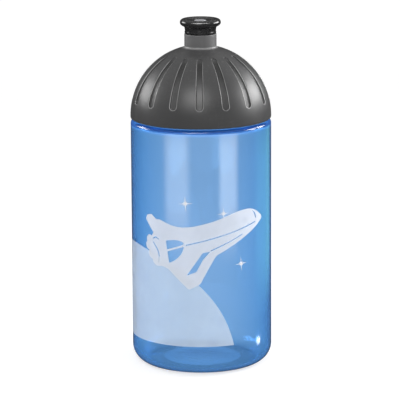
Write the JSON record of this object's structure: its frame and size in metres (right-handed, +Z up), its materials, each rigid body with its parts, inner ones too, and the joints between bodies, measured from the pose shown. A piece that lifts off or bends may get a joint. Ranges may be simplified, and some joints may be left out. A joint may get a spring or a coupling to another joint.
{
  "type": "water bottle",
  "caption": "Child's translucent drinking bottle with a grooved dome screw cap and a push-pull mouthpiece that slides on a fixed closing pin.",
  "frame": {"origin": "centre of the foot ring, on the surface that the bottle stands on", "axes": "+Z up along the bottle's own axis towards the mouthpiece, -Y towards the printed front"},
  "size_m": [0.0734, 0.0734, 0.1822],
  "materials": {
    "bottle_body": "clear blue tinted plastic, smooth inside and out",
    "screw_cap": "satin grey moulded plastic",
    "cap_seal": "milky silicone",
    "spout_insert": "light grey moulded plastic",
    "mouthpiece": "glossy black moulded plastic",
    "mouthpiece_o_ring": "milky silicone"
  },
  "bodies": {
    "bottle": {"bottle_body": "bottle_body"},
    "seal": {"cap_seal": "cap_seal"},
    "cap": {"screw_cap": "screw_cap", "spout_insert": "spout_insert"},
    "mouthpiece": {"mouthpiece": "mouthpiece", "mouthpiece_o_ring": "mouthpiece_o_ring"}
  },
  "joints": [
    {"name": "cap_rise", "type": "slide", "parent": "bottle", "child": "seal", "axis": [0, 0, 1], "range_m": [0, 0.024]},
    {"name": "cap_turn", "type": "hinge", "parent": "seal", "child": "cap", "pos_m": [0, 0, 0.1303], "axis": [0, 0, 1], "range_deg": [0, 1440]},
    {"name": "mouthpiece_pull", "type": "slide", "parent": "cap", "child": "mouthpiece", "axis": [0, 0, 1], "range_m": [0, 0.0055]}
  ],
  "couplings": [
    {"joint": "cap_rise", "follows": "cap_turn", "m_per_rad": 0.00095493}
  ]
}
